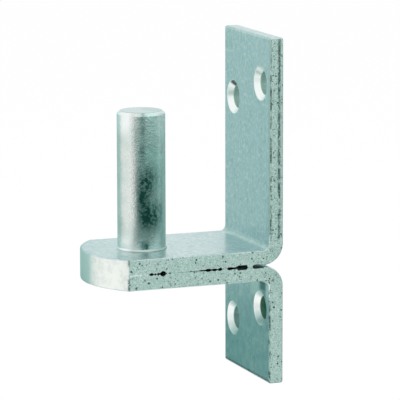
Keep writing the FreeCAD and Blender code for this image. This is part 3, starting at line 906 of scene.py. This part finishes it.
# %% The pin's colour and surface
# Painted reflection: a teal cast on the side that faces the plate.
plate_side = turn.rise(-36, -14) * turn.rise(125, 95)
pin_colour = turned.blend(plate_side, PIN_ZINC, TEAL_REFLECTION)
pin_colour = turned.blend(blotches.rise(0.42, 0.68) * 0.8, pin_colour, PIN_STAIN_AND_SHADE)
pin_colour = turned.blend(grit.rise(0.47, 0.64) * 0.8, pin_colour, PIN_STAIN_AND_SHADE)
free_side = turn.rise(-36, -55) * turn.rise(-155, -125)
pale_ends = z.rise(35, 43).most(z.rise(7, 1.5))
# Painted highlights near both ends of the free side, and more faintly on the plate side past 40
# degrees.
pin_highlight = (0.85 * free_side + 0.6 * turn.rise(0, 40) * plate_side) * pale_ends
pin_colour = turned.blend(pin_highlight, pin_colour, CUT_ZINC_AND_HIGHLIGHT)
# Painted shade in the middle of the free side.
pin_colour = turned.blend(free_side * (1 - pale_ends) * 0.30, pin_colour, PIN_STAIN_AND_SHADE)
greened = sheltered * (0.4 + 0.6 * grit) * (1 - 0.8 * z.rise(26, 42))
pin_colour = turned.blend(greened, pin_colour, GREEN_ZINC)
# Real stains mixed with painted dark reflection in the pin's dark band.
pin_colour = turned.blend(stain_and_reflection, pin_colour, DEEP_STAIN_AND_REFLECTION)
pin_colour = turned.blend(foot * turn.within(-8, 28, 25), pin_colour, PIN_STAIN_AND_SHADE)
pin_colour = turned.blend(top, pin_colour, PIN_TOP_ZINC)
pin_gloss = 0.19 + 0.12 * (blotches - 0.4) + 0.14 * (mottle - 0.5)
pin_gloss = pin_gloss + 0.22 * foot + 0.17 * sheltered
pin_relief = 0.03 * MM * mottle + 0.075 * MM * grit + 0.15 * MM * blotches
pin_relief = pin_relief * (1 - 0.8 * top)
sunk = {"Strength": 1.0, "Distance": 1.0, "Height": pin_relief}
pin_bumps = turned.add("ShaderNodeBump", None, sunk, output="Normal")
pin_surface = turned.add(
    "ShaderNodeBsdfPrincipled",
    None,
    {
        "Base Color": pin_colour, "Metallic": 1.0, "Roughness": pin_gloss, "Normal": pin_bumps,
        "Specular Tint": RIM_TINT,
    },
)
put_on(pin, turned.close(pin_surface))
print("pin finish:", len(turned.nodes), "nodes")

# %% [markdown]
# ## The camera
#
# The photograph was taken from a long way off with a long lens, from the side of the
# plate and a little above. The angles and the distance were fitted to the corners of the
# object, so they are set as plain numbers.

# %% Stand the camera
CAMERA_AZIMUTH, CAMERA_HEIGHT, CAMERA_ROLL = 68.977, 9.851, -0.121
CAMERA_DISTANCE = 1019.95 * MM
CAMERA_LENS, SENSOR_WIDTH = 277.78, 36
TARGET_RIGHT, TARGET_UP = 19.38 * MM, 15.93 * MM
azimuth, height, roll = (math.radians(a) for a in (CAMERA_AZIMUTH, CAMERA_HEIGHT, CAMERA_ROLL))
rightwards = Vector((math.cos(azimuth), math.sin(azimuth), 0))
backwards = Vector((
    math.sin(azimuth) * math.cos(height), -math.cos(azimuth) * math.cos(height), math.sin(height)
))
upwards = backwards.cross(rightwards)
target = rightwards * TARGET_RIGHT + Vector((0, 0, TARGET_UP))
tilted_right = rightwards * math.cos(roll) + upwards * math.sin(roll)
tilted_up = upwards * math.cos(roll) - rightwards * math.sin(roll)
camera_data = bpy.data.cameras.new("camera")
camera_data.lens, camera_data.sensor_width = CAMERA_LENS, SENSOR_WIDTH
camera_data.clip_start, camera_data.clip_end = 0.05, 20
camera = bpy.data.objects.new("camera", camera_data)
camera.matrix_world = Matrix.Translation(target + backwards * CAMERA_DISTANCE) @ Matrix(
    (tilted_right, tilted_up, backwards)
).transposed().to_4x4()
bpy.context.scene.collection.objects.link(camera)
bpy.context.scene.camera = camera
print("camera at", [round(value / MM) for value in camera.location])

# %% [markdown]
# ## Light, floor and cards
#
# A bright metal shows mostly its surroundings, so these are set up as in a photographer's
# tent. The room is white for whatever looks at it directly or in a mirror, and a little
# softer as a light. Two soft lamps light the object, from the front and from the near
# side, and don't show in its mirrors.

# %% The room and its lamps
ROOM_LIGHT = 0.62
bpy.context.scene.world = bpy.data.worlds.new("white_room")
room = Finish(bpy.context.scene.world)
looking, mirrored, seen_through = (
    room.add("ShaderNodeLightPath", None, None, output="Is %s Ray" % ray)
    for ray in ("Camera", "Glossy", "Transmission")
)
seen = looking.most(mirrored).most(seen_through)
strength = ROOM_LIGHT + (1 - ROOM_LIGHT) * seen
whiteness = room.add(
    "ShaderNodeBackground", None, {"Color": (1.0, 1.0, 1.0), "Strength": strength}
)
room.add("ShaderNodeOutputWorld", None, {"Surface": whiteness})


def add_softbox(name, place, size, watts):
    """A square soft lamp that looks at the object."""
    data = bpy.data.lights.new(name, "AREA")
    data.shape, data.size, data.energy = "SQUARE", size, watts
    lamp = bpy.data.objects.new(name, data)
    lamp.location, lamp.visible_glossy = place, False
    lamp.rotation_euler = (target - Vector(place)).to_track_quat("-Z", "Y").to_euler()
    bpy.context.scene.collection.objects.link(lamp)


add_softbox("key", (0.35, -0.75, 0.55), 0.5, 5.0)
add_softbox("fill", (0.9, 0.25, 0.35), 0.6, 2.0)

# %% [markdown]
# The floor is white and keeps a faint shadow of the object. It lies well below, and
# lets through whatever looks at it from underneath.

# %% The floor
FLOOR_SIZE, FLOOR_DROP = 6, 90 * MM
bpy.ops.mesh.primitive_plane_add(size=FLOOR_SIZE, location=(0, 0, PLATE_FOOT - FLOOR_DROP))
floor = bpy.context.object
floor.name = "floor"
white = Finish(bpy.data.materials.new("white_floor"))
looking = white.add("ShaderNodeLightPath", None, None, output="Is Camera Ray")
mirrored = white.add("ShaderNodeLightPath", None, None, output="Is Glossy Ray")
underneath = white.add("ShaderNodeNewGeometry", None, None, output="Backfacing")
lit = white.add("ShaderNodeBsdfDiffuse", None, {"Color": (0.9, 0.9, 0.9)})
plain = white.add("ShaderNodeEmission", None, {"Color": (1.0, 1.0, 1.0), "Strength": 1.04})
share = 0.9 * looking.most(mirrored)
board = white.add("ShaderNodeMixShader", None, {0: share, 1: lit, 2: plain})
clear = white.add("ShaderNodeBsdfTransparent")
board = white.add("ShaderNodeMixShader", None, {0: underneath, 1: board, 2: clear})
put_on(floor, white.close(board))
print("floor at", round(floor.location.z / MM), "mm")

# %% [markdown]
# Two round walls of card stand about the object and show only in its mirrors, so they
# shade nothing. The plate's front mirrors the teal one, which is deep below and pale on
# top. The dark green one gives the pin its dark band. Each fades out at its ends and
# towards its upper rim. The turn about the pin runs from -180 to 180 degrees, and has its
# jump right behind the dark card. For the teal card, which hangs over that jump, the
# place is mirrored through the axis first, so that its turn is counted from the far side.

# %% The cards that the metal mirrors
CARD_FOOT = -133 * MM
CARD_CORNERS = 96
DEEP_TEAL, MIDDLE_TEAL = (0.12, 0.32, 0.30), (0.50, 0.68, 0.66)
PALE_TEAL = (0.80, 0.93, 0.92)
BLACK_GREEN, BOTTLE_GREEN = (0.003, 0.04, 0.034), (0.22, 0.36, 0.33)
SAGE_GREEN = (0.32, 0.46, 0.44)


def add_curved_card(name, radius, low, high):
    """An upright round wall of card about the pin, which shows only in reflections."""
    nothing_selected()
    bpy.ops.mesh.primitive_cylinder_add(
        vertices=CARD_CORNERS, radius=radius, depth=high - low, end_fill_type="NOTHING",
        location=(0, 0, (low + high) / 2),
    )
    card = bpy.context.object
    card.name = name
    card.visible_camera = card.visible_diffuse = card.visible_shadow = False
    card.visible_transmission = card.visible_volume_scatter = False
    return card


def paper(name, turned_about):
    """A card's finish so far, with the turn in degrees and the height of a point on it.

    With turned_about at -1 the turn is counted from the far side, with 1 it is not.
    """
    finish = Finish(bpy.data.materials.new(name))
    spot = finish.add("ShaderNodeNewGeometry", None, None, output="Position")
    scaling = {0: spot, "Scale": turned_about}
    spot = finish.add("ShaderNodeVectorMath", {"operation": "SCALE"}, scaling)
    across, along = (
        finish.add("ShaderNodeSeparateXYZ", None, {0: spot}, output=axis) for axis in "XY"
    )
    level = finish.add("ShaderNodeSeparateXYZ", None, {0: spot}, output="Z") * turned_about
    return finish, along.math("ARCTAN2", across) * math.degrees(1), level


def hang(card, finish, colour, share):
    """Colours the card where share is 1 and leaves it out where share is 0."""
    glow = finish.add("ShaderNodeEmission", None, {"Color": colour})
    gap = finish.add("ShaderNodeBsdfTransparent")
    mixed = finish.add("ShaderNodeMixShader", None, {0: share, 1: gap, 2: glow})
    put_on(card, finish.close(mixed))


teal, turn, level = paper("teal_card", -1.0)
teal_colour = teal.blend(level.rise(-0.085, -0.045), DEEP_TEAL, MIDDLE_TEAL)
teal_colour = teal.blend(level.rise(0.040, 0.085), teal_colour, PALE_TEAL)
share = turn.rise(-20, -6) * turn.rise(60, 38) * level.rise(0.19, 0.13)
hang(add_curved_card("teal_card", 235 * MM, CARD_FOOT, 200 * MM), teal, teal_colour, share)
dark, turn, level = paper("dark_card", 1.0)
dark_colour = dark.blend(turn.rise(-5, 95), BLACK_GREEN, BOTTLE_GREEN)
dark_colour = dark.blend(level.rise(-0.022, 0.014), dark_colour, SAGE_GREEN)
dark_colour = dark.blend(level.rise(-0.028, -0.040) * 0.7, dark_colour, SAGE_GREEN)
share = turn.rise(-72, -34) * turn.rise(160, 138) * level.rise(0.055, 0.02)
hang(add_curved_card("dark_card", 220 * MM, CARD_FOOT, 60 * MM), dark, dark_colour, share)
print("cards of", len(teal.nodes), "and", len(dark.nodes), "nodes")

# %% [markdown]
# ## The last lines
#
# The scene's view settings stay plain, so a colour renders about as it is written.

# %% Finish
bpy.context.scene.view_settings.view_transform = "Standard"
nothing_selected()
